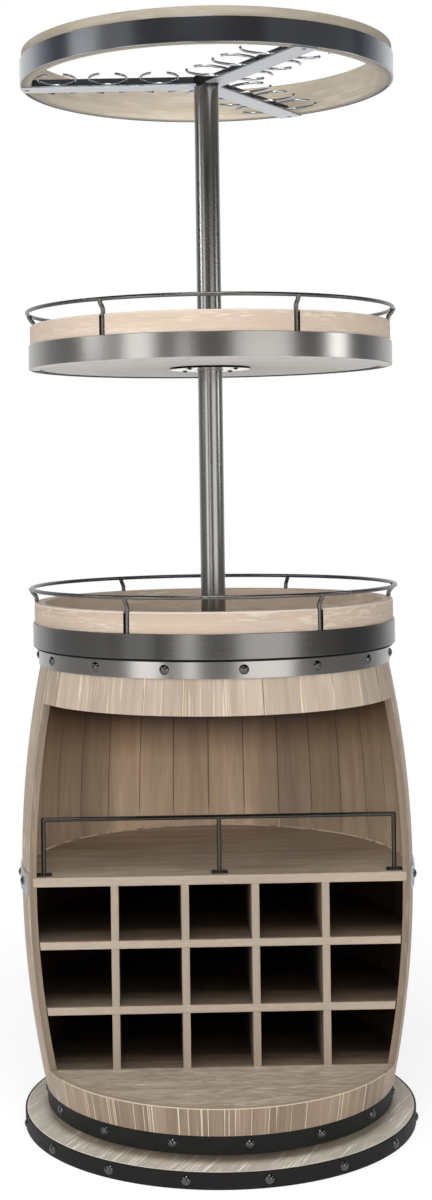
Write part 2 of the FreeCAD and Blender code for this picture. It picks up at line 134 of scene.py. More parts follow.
def blended(tree, share, low, high, mode="MIX"):
    """Colour mix: share, low and high are each a node or a plain value."""
    settings, links = {"data_type": "RGBA", "blend_type": mode, "clamp_factor": True}, {}
    for index, term in ((0, share), (6, low), (7, high)):
        if isinstance(term, (bpy.types.Node, bpy.types.NodeSocket)):
            links[index] = term
        else:
            settings[index] = term if index == 0 else rgba(term)
    return add(tree, "Mix", settings, links)


def new_material(name):
    """Empty node material: the material, its tree and its Principled shader."""
    material = bpy.data.materials.new(name)
    material.use_nodes = True
    tree = material.node_tree
    tree.nodes.clear()
    shader = add(tree, "BsdfPrincipled")
    add(tree, "OutputMaterial", links={"Surface": shader})
    return material, tree, shader


def feed(tree, shader, **sources):
    for name, source in sources.items():
        socket = source if isinstance(source, bpy.types.NodeSocket) else \
            next(s for s in source.outputs if s.enabled)
        tree.links.new(socket, shader.inputs[name.replace("_", " ")])


# --- Grain: how a wood's streaks lie ---
class Grain:
    """Coordinates along and across the grain, for one of the cabinet's woods."""

    def __init__(self, tree, lie, turn=0.0, seed=0.0):
        self.tree, self.lie, self.seed = tree, lie, seed
        place = add(tree, "TexCoord").outputs["Object"]
        self.split = add(tree, "SeparateXYZ", links={0: place})
        x, y, z = self.split.outputs
        self.radius = add(tree, "VectorMath", {"operation": "LENGTH"},
                          {0: add(tree, "CombineXYZ", links={0: x, 1: y})})
        if lie == "straight":
            self.vector = add(tree, "Mapping", {"Rotation": (0, 0, -math.radians(turn))}, {"Vector": place})
        elif lie == "upright":
            self.vector = add(tree, "CombineXYZ", links={0: z, 1: x, 2: y})
        elif lie == "round":
            self.vector = place
        else:
            around = calc(tree, "DIVIDE", calc(tree, "ARCTAN2", x, calc(tree, "MULTIPLY", y, -1.0)),
                          STAVE_ANGLE)
            self.stave = calc(tree, "FLOOR", around)
            self.share = calc(tree, "SUBTRACT", around, self.stave)
            arc = calc(tree, "MULTIPLY", around, STAVE_ANGLE * BULGE_R)
            self.vector = add(tree, "CombineXYZ", links={0: z, 1: arc, 2: self.radius})

    def streaks(self, along, across, low, high, detail=2.0, shift=0.0):
        """Streaks of a size in mm, 0 below the noise level low and 1 above high."""
        tree = self.tree
        near, far = 1 / (across * MM), 1 / (along * MM)
        stretch = {"round": (far, far, near), "staves": (far, near, far)}.get(self.lie, (far, near, near))
        sized = add(tree, "VectorMath", {"operation": "MULTIPLY", 1: stretch}, {0: self.vector})
        settings = {"noise_dimensions": "4D", "Scale": 1.0, "Detail": detail, "Roughness": 0.55,
                    "W": self.seed + shift}
        links = {"Vector": sized}
        if self.lie == "round":
            links["W"] = calc(tree, "MULTIPLY_ADD", self.radius, near, self.seed + shift)
        elif self.lie == "staves":
            links["W"] = calc(tree, "MULTIPLY_ADD", self.stave, 7.3, self.seed + shift)
        noise = add(tree, "TexNoise", settings, links)
        return add(tree, "MapRange", {"From Min": low, "From Max": high}, {"Value": noise.outputs[0]})


def limed_oak(name, lie, tones, turn=0.0, seed=0.0, fleck=1.0, stroke=(34, 2.4), cover=(0.56, 0.70),
              patch=(0.45, 0.66), fibre=(70, 2.6, 0.35), finish=()):
    """Wire-brushed oak, limed and sealed with satin lacquer.

    The brushing opens the grain into long fine valleys, and the lime stays in some of
    them as pale strokes. The lacquer gives a soft sheen that the open grain breaks up.
    tones: deep, middle and pale wood, and the lime. stroke: the lime's strokes in mm.
    fibre: length and width of the valleys in mm, drawn as coarse as they need to show,
    and their depth of colour. finish: what is done to the bare oak, in order.
    """
    material, tree, shader = new_material(name)
    deep, middle, pale, lime = tones
    grain = Grain(tree, lie, turn, seed)
    figure = grain.streaks(320, 26, 0.30, 0.72, 3.0)
    colour = blended(tree, figure, blended(tree, 0.5, middle, deep), pale)
    valleys = grain.streaks(fibre[0], fibre[1], 0.40, 0.62, 2.0, 5.0)
    colour = blended(tree, calc(tree, "MULTIPLY", valleys, fibre[2]), colour, deep)
    patches = grain.streaks(150, 30, *patch, 1.0, 9.0)
    strokes = grain.streaks(*stroke, *cover, 0.6, 13.0)
    limed = calc(tree, "MULTIPLY", calc(tree, "MULTIPLY", strokes, patches), fleck)
    if lie == "staves":
        outer = calc(tree, "SUBTRACT", 1.0, inside_wall(tree, grain, MID_WALL))
        limed = calc(tree, "MULTIPLY", limed, outer)
    colour = blended(tree, limed, colour, lime)
    height = calc(tree, "SUBTRACT", calc(tree, "MULTIPLY", limed, 0.6), valleys)
    for step, *details in finish:
        colour = step(tree, grain, colour, *details)
    bump = add(tree, "Bump", {"Strength": 0.35, "Distance": 0.4 * MM}, {"Height": height})
    rough = add(tree, "MapRange", {"To Min": 0.62, "To Max": 0.46}, {"Value": valleys})
    feed(tree, shader, Base_Color=colour, Roughness=rough, Normal=bump)
    return material


def flat_face(tree, grain, colour, axis, place, shade, share=0.75):
    """A colour on the flat faces that lie at a place along an axis: their own colour in most uses, painted
    light or shade in some.
    """
    apart = calc(tree, "ABSOLUTE", calc(tree, "SUBTRACT", grain.split.outputs["XYZ".index(axis)], place))
    on_face = calc(tree, "LESS_THAN", apart, 0.6 * MM)
    return blended(tree, on_face, colour, blended(tree, share, colour, shade))


def between(tree, value, low, high):
    """1 where a value lies between two others."""
    return calc(tree, "MULTIPLY", calc(tree, "GREATER_THAN", value, low),
                calc(tree, "LESS_THAN", value, high))


def inside_wall(tree, grain, inset):
    """1 on what lies further inside the bowed wall than an inset."""
    off = calc(tree, "SUBTRACT", grain.split.outputs[2], BULGE_Z)
    sag = calc(tree, "DIVIDE", calc(tree, "POWER", calc(tree, "ABSOLUTE", off), 2.0), 2 * STAVE_ARC)
    return calc(tree, "LESS_THAN", grain.radius, calc(tree, "SUBTRACT", BULGE_R - inset, sag))


def bay_painted_shade(tree, grain, colour):
    """Painted shade: the bays' insides are coloured darker, more so towards the back."""
    x, y, z = grain.split.outputs
    depth = add(tree, "MapRange", {"From Min": OPENING_Y + 2 * MM, "From Max": OPENING_Y + BAY_DEPTH},
                {"Value": y})
    painted_tint = add(tree, "ValToRGB", {"stops": ((0.0, "#FFFFFF"), (0.02, "#AFA8A1"), (0.5, "#6E645C"),
                                             (1.0, "#463D37"))}, {"Fac": depth})
    inside = calc(tree, "LESS_THAN", z, top_of("main_shelf") - 1 * MM)
    if grain.lie == "staves":
        inside = calc(tree, "MULTIPLY", inside, inside_wall(tree, grain, 3 * MM))
    return blended(tree, inside, colour, blended(tree, 1.0, colour, painted_tint, "MULTIPLY"))


def inner_painted_light(tree, grain, colour, painted_tint):
    """Painted light and shade on the staves' inner faces: brightened overall and most of all in the middle
    of the back, with a painted shadow of the header along the top.
    """
    x, y, z = grain.split.outputs
    top = foot_of("header_staves")
    drop = 0.266  # how fast the dark band comes down towards the back
    # Painted shadow of the header: darkest just below it, reaching lower towards the back.
    height = add(tree, "MapRange", {"From Min": top - 190 * MM, "From Max": top - 1 * MM},
                 {"Value": calc(tree, "MULTIPLY_ADD", y, drop, z)})
    header_shadow = add(tree, "ValToRGB", {"stops": ((0.0, "#FFFFFF"), (0.55, "#E6E0DA"), (0.8, "#B2A69B"),
                                             (0.93, "#7C6E62"), (1.0, "#463A31"))}, {"Fac": height})
    shade = blended(tree, 1.0, painted_tint, header_shadow, "MULTIPLY")
    # Painted light: the middle of the back wall is brightened more than its sides.
    aside = calc(tree, "ABSOLUTE", calc(tree, "ADD", x, 50 * MM))
    pale = add(tree, "MapRange", {"From Min": 0.10, "From Max": 0.20, "To Min": 2.5, "To Max": 1.5},
               {"Value": aside})
    shade = add(tree, "VectorMath", {"operation": "SCALE"}, {0: shade, "Scale": pale})
    stained = blended(tree, 1.0, colour, shade, "MULTIPLY")
    return blended(tree, inside_wall(tree, grain, MID_WALL), colour, stained)


def graded_painted_shade(tree, grain, colour, radius_full, radius_none, painted_tint):
    """Painted shade that is full at one radius and fades out towards another."""
    fade = add(tree, "MapRange", {"From Min": radius_full, "From Max": radius_none, "To Min": 1.0,
                                  "To Max": 0.0}, {"Value": grain.radius})
    return blended(tree, fade, colour, blended(tree, 1.0, colour, painted_tint, "MULTIPLY"))


def dark_grooves(tree, grain, colour, node):
    """Painted shade in the grooves behind a hoop's rail posts."""
    outside, depth, skin, arris_height = radius_of(node), 17 * MM, 0.7 * MM, 3.2 * MM
    deep = between(tree, grain.radius, outside - depth, outside - skin)
    below = calc(tree, "LESS_THAN", grain.split.outputs[2], top_of(node) - arris_height)
    return blended(tree, calc(tree, "MULTIPLY", deep, below), colour, "#1C1612")


def black_edge(tree, grain, colour, node, height, width):
    """Painted shade: the rear of a hoop's lower edge is coloured near black, where it stands in shadow."""
    x, y, z = grain.split.outputs
    low = between(tree, z, foot_of(node) - 1 * MM, foot_of(node) + height)
    outer = calc(tree, "GREATER_THAN", grain.radius, radius_of(node) - width)
    rear = calc(tree, "GREATER_THAN", y, 0.01)
    mask = calc(tree, "MULTIPLY", calc(tree, "MULTIPLY", low, outer), rear)
    return blended(tree, mask, colour, "#161412")


def arris(tree, grain, colour, node, radius, width, shade):
    """Painted highlight: a pale line along a ring's or a disc's outer top arris."""
    rim = calc(tree, "GREATER_THAN", grain.radius, radius - width)
    high = calc(tree, "GREATER_THAN", grain.split.outputs[2], top_of(node) - width)
    return blended(tree, calc(tree, "MULTIPLY", rim, high), colour, shade)


def stave_joints(tree, grain, colour, gap, filler, filled, width=0.017, ledge=None):
    """Each stave gets its own tone, and the joints a dark gap or a line of pale filler.

    filled: how much of the joints' length holds filler. width: a joint's half width, as a
    share of a stave. ledge: height of a board whose filler has crept up the joints.
    """
    chance = add(tree, "TexWhiteNoise", {"noise_dimensions": "1D"}, {"W": grain.stave})
    tone = add(tree, "MapRange", {"To Min": 0.86, "To Max": 1.12}, {"Value": chance.outputs["Value"]})
    toned = add(tree, "VectorMath", {"operation": "SCALE"}, {0: colour, "Scale": tone})
    edge = calc(tree, "MINIMUM", grain.share, calc(tree, "SUBTRACT", 1.0, grain.share))
    inside = calc(tree, "LESS_THAN", edge, width)
    worn = grain.streaks(90, 40, 0.5 - filled, 0.62 - filled, 1.0, 21.0)
    if ledge:
        crept = add(tree, "MapRange", {"From Min": ledge + 4 * MM, "From Max": ledge + 55 * MM,
                                       "To Min": 1.3, "To Max": -0.3}, {"Value": grain.split.outputs[2]})
        worn = calc(tree, "MULTIPLY", crept, calc(tree, "ADD", worn, 0.35))
    line = blended(tree, worn, gap, filler)
    return blended(tree, calc(tree, "MULTIPLY", inside, 0.85), toned, line)


# --- Metals ---
def brushed_steel(name, colour, rough, streak=0.02, lie="round", across=1.6, faces=(), extra=None):
    """Rolled steel, brushed along the strip and clear coated.

    The brushing draws reflections out across the strip and leaves faint lines along it.
    streak: how dark the lines are. across: their pitch in mm, drawn as coarse as it needs to show.
    """
    material, tree, shader = new_material(name)
    grain = Grain(tree, lie)
    lines = grain.streaks(260, across, 0.3, 0.7, 2.0)
    clouds = grain.streaks(90, 30, 0.3, 0.7, 2.0, 4.0)
    dark = blended(tree, 1.0, colour, grey(1 - 2 * streak), "MULTIPLY")
    shade = blended(tree, lines, dark, colour)
    shade = blended(tree, calc(tree, "MULTIPLY", clouds, streak), shade, grey(0.0))
    for face in faces:
        shade = flat_face(tree, grain, shade, *face)
    if extra:
        shade = extra(tree, grain, shade)
    level = add(tree, "MapRange", {"To Min": rough - 0.01, "To Max": rough + 0.02}, {"Value": lines})
    relief = add(tree, "Bump", {"Strength": 0.004, "Distance": 0.1 * MM}, {"Height": lines})
    shader.inputs["Metallic"].default_value = 1.0
    feed(tree, shader, Base_Color=shade, Roughness=level, Normal=relief)
    return material


def black_rim(tree, grain, colour):
    """Painted shade: the flange's rim is coloured near black, where its side stands in shadow."""
    rim = calc(tree, "GREATER_THAN", grain.radius, radius_of("barrel_flange") - 0.9 * MM)
    return blended(tree, rim, colour, "#151413")


def dark_web(tree, grain, colour):
    """Painted shade on the webs, which are coloured dark grey; the undersides close to the hub are coloured
    near black.
    """
    x, y, z = grain.split.outputs
    low, high = foot_of("ring_hoop") + 0.3 * MM, top_of("spoke_left") + 1 * MM
    near_hub = calc(tree, "MULTIPLY", between(tree, x, -20 * MM, 22 * MM),
                  between(tree, y, -42 * MM, 60 * MM))
    colour = blended(tree, near_hub, colour, "#1C1B1A")
    return blended(tree, between(tree, z, low, high), colour, "#3A3C40")


def painted_band_shade(tree, grain, colour):
    """Painted shade along the band's run, which dims its reflections left of the front and towards the
    right end.
    """
    reach = 0.36
    place = add(tree, "MapRange", {"From Min": -reach, "From Max": reach},
                {"Value": grain.split.outputs[0]})
    scale = add(tree, "ValToRGB", {"stops": ((0.22, "#FFFFFF"), (0.29, "#9C9C9C"), (0.35, "#8C8C8C"),
                                             (0.39, "#FFFFFF"), (0.74, "#F0F0F0"), (0.80, "#C8C8C8"))},
                {"Fac": place})
    return blended(tree, 1.0, colour, scale, "MULTIPLY")


def burnished_steel(name, colour, rough):
    """Steel bar or fastener, blackened and oiled: dark and faintly mottled, with a clear highlight."""
    material, tree, shader = new_material(name)
    place = add(tree, "TexCoord").outputs["Object"]
    mottle = add(tree, "TexNoise", {"Scale": 1 / (4 * MM), "Detail": 3.0}, {"Vector": place})
    shade = blended(tree, mottle.outputs[0], blended(tree, 1.0, colour, grey(0.7), "MULTIPLY"), colour)
    level = add(tree, "MapRange", {"To Min": rough - 0.08, "To Max": rough + 0.10},
                {"Value": mottle.outputs[0]})
    relief = add(tree, "Bump", {"Strength": 0.15, "Distance": 0.15 * MM}, {"Height": mottle.outputs[0]})
    shader.inputs["Metallic"].default_value = 1.0
    feed(tree, shader, Base_Color=shade, Roughness=level, Normal=relief)
    return material


def black_paint(name, colour, rough):
    """Sprayed satin enamel on steel: black, with a faint orange peel that softens the sheen."""
    material, tree, shader = new_material(name)
    place = add(tree, "TexCoord").outputs["Object"]
    peel = add(tree, "TexNoise", {"Scale": 1 / (3 * MM), "Detail": 2.0}, {"Vector": place})
    wear = add(tree, "TexNoise", {"Scale": 1 / (45 * MM), "Detail": 4.0}, {"Vector": place})
    dust = add(tree, "MapRange", {"From Min": 0.45, "From Max": 0.8}, {"Value": wear.outputs[0]})
    shade = blended(tree, calc(tree, "MULTIPLY", dust, 0.5), colour,
                    blended(tree, 1.0, colour, grey(2.2), "MULTIPLY"))
    level = add(tree, "MapRange", {"To Min": rough, "To Max": rough + 0.12}, {"Value": wear.outputs[0]})
    relief = add(tree, "Bump", {"Strength": 0.2, "Distance": 0.15 * MM}, {"Height": peel.outputs[0]})
    shader.inputs["Specular IOR Level"].default_value = 0.18
    feed(tree, shader, Base_Color=shade, Roughness=level, Normal=relief)
    return material


def painted_board(name, colour, dark):
    """Fibre board under thin pale grey paint: matt, faintly clouded by the roller."""
    material, tree, shader = new_material(name)
    place = add(tree, "TexCoord").outputs["Object"]
    cloud = add(tree, "TexNoise", {"Scale": 1 / (60 * MM), "Detail": 4.0}, {"Vector": place})
    stipple = add(tree, "TexNoise", {"Scale": 1 / (3 * MM), "Detail": 2.0}, {"Vector": place})
    spread = add(tree, "MapRange", {"From Min": 0.3, "From Max": 0.7}, {"Value": cloud.outputs[0]})
    shade = blended(tree, spread, dark, colour)
    relief = add(tree, "Bump", {"Strength": 0.2, "Distance": 0.2 * MM}, {"Height": stipple.outputs[0]})
    shader.inputs["Roughness"].default_value = 0.7
    feed(tree, shader, Base_Color=shade, Normal=relief)
    return material


# --- Settings a user would change ---
def colour_property(name, description, code):
    return bpy.props.FloatVectorProperty(name=name, description=description, subtype="COLOR",
                                         default=tint(code), min=0, max=1)


class CabinetOak(bpy.types.PropertyGroup):
    """Colours of the limed oak."""
    header: colour_property("Header", "Staves above the opening", "#A79684")
    header_dark: colour_property("Header grain", "Dark grain above the opening", "#93816F")
    header_pale: colour_property("Header pale", "Pale wood above the opening", "#B6A796")
    apron: colour_property("Apron", "Staves below the floor panel", "#8B7562")
    stave: colour_property("Stave", "Full staves", "#968676")
    # Painted light: this tint is scaled up on the staves' inner faces, most of all in the middle of the
    # back.
    inner: colour_property("Inner painted light", "Multiplied on the staves' inner faces", "#F6F2EE")
    shelf: colour_property("Shelf", "Shelves", "#B8A895")
    edge: colour_property("Shelf edge", "Front edges of the shelves", "#998A7A")
    divider_edge: colour_property("Divider edge", "Front edges of the dividers", "#8D7F70")
    stave_edge: colour_property("Stave edge", "Cut edges of the staves beside the opening", "#5F5042")
    hoop: colour_property("Hoop", "Wooden hoops", "#BBA997")
    lime: colour_property("Lime", "Lime in the open grain", "#DED2BC")
    gap: colour_property("Joint", "Open joints between staves", "#3A2E26")


class CabinetSteel(bpy.types.PropertyGroup):
    """Colours of the metal parts."""
    brushed: colour_property("Brushed", "Upper hoop", "#918F8C")
    tray: colour_property("Tray band", "Band round the tray", "#918F8C")
    bright: colour_property("Bright", "Middle hoop", "#B9BCC0")
    dark: colour_property("Gunmetal", "Rim band", "#706F6D")
    pole: colour_property("Pole", "Pole tubes", "#858481")
    rod: colour_property("Rail rod", "Rails of the barrel and the tray", "#6E6C69")
    paint: colour_property("Black paint", "Base and plinth bands", "#131312")
    spoke: colour_property("Spoke", "Spokes of the stemware ring", "#A4A8B0")


class CabinetStudio(bpy.types.PropertyGroup):
    """Camera and light."""
    heading: bpy.props.FloatProperty(name="Heading", description="Camera's bearing from +Y",
                                     default=math.radians(1.175), subtype="ANGLE")
    roll: bpy.props.FloatProperty(name="Roll", description="Camera's roll",
                                  default=math.radians(-0.798), subtype="ANGLE")
    place: bpy.props.FloatVectorProperty(name="Camera", description="Camera's place", unit="LENGTH",
                                         default=(-0.1487, -3.4048, 1.2014))
    lens: bpy.props.FloatProperty(name="Lens", description="Focal length", default=54.273,
                                  unit="CAMERA")
    ambient: bpy.props.FloatProperty(name="Ambient", description="Level of the light all round",
                                     default=0.14)
    key: bpy.props.FloatProperty(name="Key", description="Power of the key lamp", default=105.0,
                                 unit="POWER")


GROUPS = {"cabinet_oak": CabinetOak, "cabinet_steel": CabinetSteel, "cabinet_studio": CabinetStudio}


# --- Dressing the CAD nodes ---
def dress(materials):
    """Give every CAD node the material of its slot in the record."""
    slots = {part["node"]: part["material_slot"] for part in frame["record"]["subparts"]}
    for name, node in frame["nodes"].items():
        slot = name if name in materials else slots[name]
        if slot not in materials:
            continue
        node.data.materials.clear()
        node.data.materials.append(materials[slot])


class CABINET_OT_wood(bpy.types.Operator):
    """Finish the wooden nodes in limed oak and painted board."""
    bl_idname = "cabinet.wood"
    bl_label = "Wood"

    def execute(self, context):
        oak = context.scene.cabinet_oak
        front = (flat_face, "Y", OPENING_Y, oak.edge)
        gap, lime = oak.gap, oak.lime
        hoop_tones = ("#AF9D8C", oak.hoop, "#C8B7A5", "#E6DCCE")
        shelf_tones = ("#8C7B6A", oak.shelf, "#CDBFAE", lime)
        ring_tones = ("#AFA18C", "#C2B5A1", "#D2C7B6", "#E0D8CB")
        floor_tones = ("#897868", "#C3B4A2", "#CABCAA", "#E6DCCC")
        base_tones = ("#B0A798", "#D4CCBE", "#E2DBCE", "#F8F3E8")
        flat = {"fibre": (24, 5.0, 0.5), "stroke": (26, 5.0), "cover": (0.56, 0.64), "fleck": 0.5}
        short = {"stroke": (24, 3.6), "cover": (0.50, 0.64), "patch": (0.46, 0.60)}
        ring_r, tray_r, rim_r = (radius_of(hoop) for hoop in ("ring_hoop", "tray_hoop", "rim_hoop"))
        plinth_r, apron_top = radius_of("plinth_band"), top_of("apron_staves")
        materials = {
            "stave_oak": limed_oak(
                "limed_oak_staves", "staves", ("#83725F", oak.stave, "#A89886", lime), seed=1,
                finish=[(stave_joints, gap, lime, -0.12, 0.012, top_of("main_shelf")),
                        # Painted light and shade: the inner faces are brightened with the header's shadow
                        # painted below it, and the bays are darkened.
                        (inner_painted_light, oak.inner), (bay_painted_shade,),
                        (flat_face, "Y", OPENING_Y, oak.stave_edge)]),
            "header_oak": limed_oak(
                "limed_oak_header", "staves",
                (oak.header_dark, oak.header, oak.header_pale, "#D8CDC0"), seed=2,
                stroke=(90, 2.4), cover=(0.57, 0.66), patch=(0.46, 0.58), fleck=0.45,
                fibre=(200, 2.8, 0.2),
                # Painted light and shade on the inner faces, as on the staves.
                finish=[(stave_joints, "#7E6A56", "#E0D2B2", 0.05), (inner_painted_light, oak.inner)]),
            "apron_oak": limed_oak(
                "limed_oak_apron", "staves", ("#6C5A4A", oak.apron, "#9C8875", "#D4C8AE"), seed=3,
                stroke=(500, 2.4), cover=(0.62, 0.68), patch=(0.3, 0.44), fleck=0.9,
                fibre=(300, 2.8, 0.4),
                finish=[(stave_joints, "#A8977F", "#D6C9AE", 0.2, 0.011),
                        (flat_face, "Z", apron_top, "#B0A08E"),
                        # A painted highlight runs along the apron's outer top arris.
                        (arris, "apron_staves", wall_r(apron_top), 1.7 * MM, "#C2B5A0")]),
            "main_shelf": limed_oak("limed_oak_shelf", "straight", shelf_tones, seed=4,
                                    finish=[front], **flat),
            # The rack, the floor and the dividers carry painted shade inside the bays.
            "shelf_oak": limed_oak("limed_oak_rack", "straight", shelf_tones, seed=14,
                                   finish=[(bay_painted_shade,), front], **flat),
            "floor_oak": limed_oak("limed_oak_floor", "straight", floor_tones, seed=5,
                                   finish=[(bay_painted_shade,)], **flat),
            "divider_oak": limed_oak(
                "limed_oak_dividers", "upright", shelf_tones, seed=6, fleck=0.4,
                finish=[(bay_painted_shade,), (flat_face, "Y", OPENING_Y + 1.5 * MM, oak.divider_edge)]),
            "panel_oak": limed_oak("limed_oak_panel", "straight", shelf_tones, turn=90, seed=7, fleck=0.5),
            "ring_hoop": limed_oak(
                "limed_oak_ring", "round", ring_tones, seed=8, fleck=0.3,
                stroke=(50, 9.0), cover=(0.50, 0.62), patch=(0.3, 0.5),
                # Painted shade: the underside is darkened, the rear of the lower edge coloured near black,
                # and the outer 12 mm darkened.
                finish=[(flat_face, "Z", foot_of("ring_hoop"), "#9A9184"),
                        (black_edge, "ring_hoop", 0.6 * MM, 4.5 * MM),
                        (graded_painted_shade, ring_r, ring_r - 12 * MM, "#C4C4C2")]),
            "tray_hoop": limed_oak(
                "limed_oak_tray", "round", hoop_tones, seed=18, fleck=0.42, **short,
                # A painted highlight on the top arris, and painted shade in the post grooves and on the
                # rear of the lower edge.
                finish=[(arris, "tray_hoop", tray_r, 2.2 * MM, "#D8CCBD"),
                        (dark_grooves, "tray_hoop"),
                        (flat_face, "Z", foot_of("tray_hoop"), "#DAD7D3", 1.0),
                        (black_edge, "tray_hoop", 1.7 * MM, 20 * MM)]),
            "rim_hoop": limed_oak(
                "limed_oak_rim", "round", hoop_tones, seed=28, fleck=0.38, **short,
                # Painted shade on the outer 12 mm and a near-black underside in shadow, a painted highlight
                # on the top arris, and painted shade in the post grooves.
                finish=[(graded_painted_shade, rim_r, rim_r - 12 * MM, "#ECEAE8"),
                        (arris, "rim_hoop", rim_r, 2.2 * MM, "#D8CCBD"),
                        (dark_grooves, "rim_hoop"),
                        (flat_face, "Z", foot_of("rim_hoop"), "#0C0A08", 1.0)]),
            "base_oak": limed_oak(
                "limed_oak_base", "straight", base_tones, turn=65, seed=9,
                stroke=(70, 3.2), cover=(0.55, 0.60), patch=(0.49, 0.55), fibre=(30, 3.6, 0.42),
                # A painted contact shadow round the plinth, and a painted highlight on the outer arris.
                finish=[(graded_painted_shade, plinth_r - 4 * MM, plinth_r + 10 * MM, "#D8D3CC"),
                        (arris, "base_disk", radius_of("base_disk"), 2.2 * MM, "#EFE8DA")]),
            "grey_board": painted_board("painted_board", "#DAD8D4", "#CDCAC6"),
        }
        dress(materials)
        return {"FINISHED"}


class CABINET_OT_metal(bpy.types.Operator):
    """Finish the steel nodes: brushed, burnished, plated or painted."""
    bl_idname = "cabinet.metal"
    bl_label = "Metal"

    def execute(self, context):
        steel = context.scene.cabinet_steel
        materials = {
            "brushed_band": brushed_steel("brushed_steel_hoop", steel.brushed, 0.25),
            "tray_band": brushed_steel("brushed_steel_band", steel.tray, 0.25),
            "ring_band": brushed_steel("dark_brushed_band", "#979A9F", 0.19, streak=0.01),
            "bright_band": brushed_steel("bright_steel_hoop", steel.bright, 0.32),
            # The gunmetal band carries painted shade along its run, which dims its reflections.
            "dark_band": brushed_steel("gunmetal_band", steel.dark, 0.26, extra=painted_band_shade),
            "pole_steel": brushed_steel("gunmetal_tube", steel.pole, 0.24, lie="upright", across=3.0,
                                        streak=0.01),
            "rail_rod": burnished_steel("gunmetal_rod", steel.rod, 0.28),
            # Painted light: the spokes' undersides are coloured near white, as lit from below; painted
            # shade makes their webs dark.
            "spoke_steel": brushed_steel("satin_steel_bar", steel.spoke, 0.42, lie="straight",
                                         faces=[("Z", foot_of("spoke_left"), "#F2F4F8")], extra=dark_web),
            # The flange's rim carries painted shade.
            "flange_steel": brushed_steel("satin_steel_flange", "#F4F3F1", 0.22, lie="straight",
                                          extra=black_rim),
            "clip_steel": burnished_steel("burnished_wire", "#C4C6C9", 0.18),
            "hoop_rivet": burnished_steel("burnished_rivet", "#62605E", 0.10),
            "screw_steel": burnished_steel("burnished_screw", "#3C3B3A", 0.30),
            "tray_flange_screws": black_paint("blackened_screw", "#0E0E0E", 0.55),
            "spoke_screws": black_paint("blackened_spoke_screw", "#0E0E0E", 0.55),
            "ball_steel": burnished_steel("polished_ball_steel", "#CFCFCF", 0.12),
            "zinc_steel": burnished_steel("zinc_plated_steel", "#B5B5B0", 0.38),
            "dark_rod": burnished_steel("oiled_rod", "#4B4946", 0.24),
            "hub_block": black_paint("black_enamelled_hub", "#131313", 0.5),
            "hub_bolt": black_paint("black_enamelled_bolt", "#131313", 0.5),
            "black_steel": black_paint("black_enamelled_band", steel.paint, 0.5),
            "rubber": black_paint("black_rubber", "#080808", 0.7),
            "black_rivet": burnished_steel("black_chrome_rivet", "#5C5D5D", 0.10),
        }
        dress(materials)
        return {"FINISHED"}


# --- Small fittings ---
def finished(name, bm, body, material):
    """Turn a bmesh into a piece with outward normals that rides on a body."""
    bmesh.ops.remove_doubles(bm, verts=bm.verts, dist=0.01 * MM)
    bmesh.ops.recalc_face_normals(bm, faces=bm.faces)
    mesh = bpy.data.meshes.new(name)
    bm.to_mesh(mesh)
    bm.free()
    piece = bpy.data.objects.new(name, mesh)
    bpy.context.scene.collection.objects.link(piece)
    for polygon in mesh.polygons:
        polygon.use_smooth = True
    mesh.materials.append(bpy.data.materials[material])
    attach(piece, body)
    return piece


def bead_ring(bm, radius, z, width, height, start=0.0, sweep=360.0, steps=96):
    """Bead with a rounded section, spun about the axis from a start bearing; an open one gets ends."""
    sides = 10
    loop = []
    for i in range(sides):
        a = TURN * i / sides
        loop.append(bm.verts.new((0, -(radius + width / 2 * math.cos(a)), z + height / 2 * math.sin(a))))
    edges = [bm.edges.new((loop[i], loop[(i + 1) % sides])) for i in range(sides)]
    bmesh.ops.rotate(bm, verts=loop, cent=(0, 0, 0), matrix=Matrix.Rotation(math.radians(start), 3, "Z"))
    full = sweep >= 360
    if not full:
        bmesh.ops.contextual_create(bm, geom=edges)
    geom = edges if full else [f for f in bm.faces if set(f.verts) == set(loop)]
    bmesh.ops.spin(bm, geom=geom, cent=(0, 0, 0), axis=(0, 0, 1), angle=math.radians(sweep),
                   steps=steps, use_merge=full, use_duplicate=False)


class CABINET_OT_pole_welds(bpy.types.Operator):
    """Lay a weld bead round the pole at each flange."""
    bl_idname = "cabinet.pole_welds"
    bl_label = "Pole welds"

    def execute(self, context):
        bm = bmesh.new()
        tray_low, tray_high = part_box("tray_flanges")
        radius = radius_of("pole_lower")
        for z in (foot_of("pole_lower"), tray_low.z, tray_high.z):
            bead_ring(bm, radius + 0.6 * MM, z, 4 * MM, 4 * MM)
        finished("pole_welds", bm, "cabinet", "gunmetal_tube")
        return {"FINISHED"}


class CABINET_OT_rim_shadow_strip(bpy.types.Operator):
    """Lay a black strip in the gap between the wooden rim and the upper hoop, as a painted shadow below the
    rim.
    """
    bl_idname = "cabinet.rim_seal"
    bl_label = "Rim shadow strip"

    def execute(self, context):
        bm = bmesh.new()
        # The black strip stands for the shadow below the rim band's overhang.
        bead_ring(bm, radius_of("upper_hoop") + 3.0 * MM, foot_of("rim_hoop") - 2.3 * MM, 6 * MM, 4.5 * MM)
        finished("rim_shadow_strip", bm, "cabinet", "black_rubber")
        return {"FINISHED"}


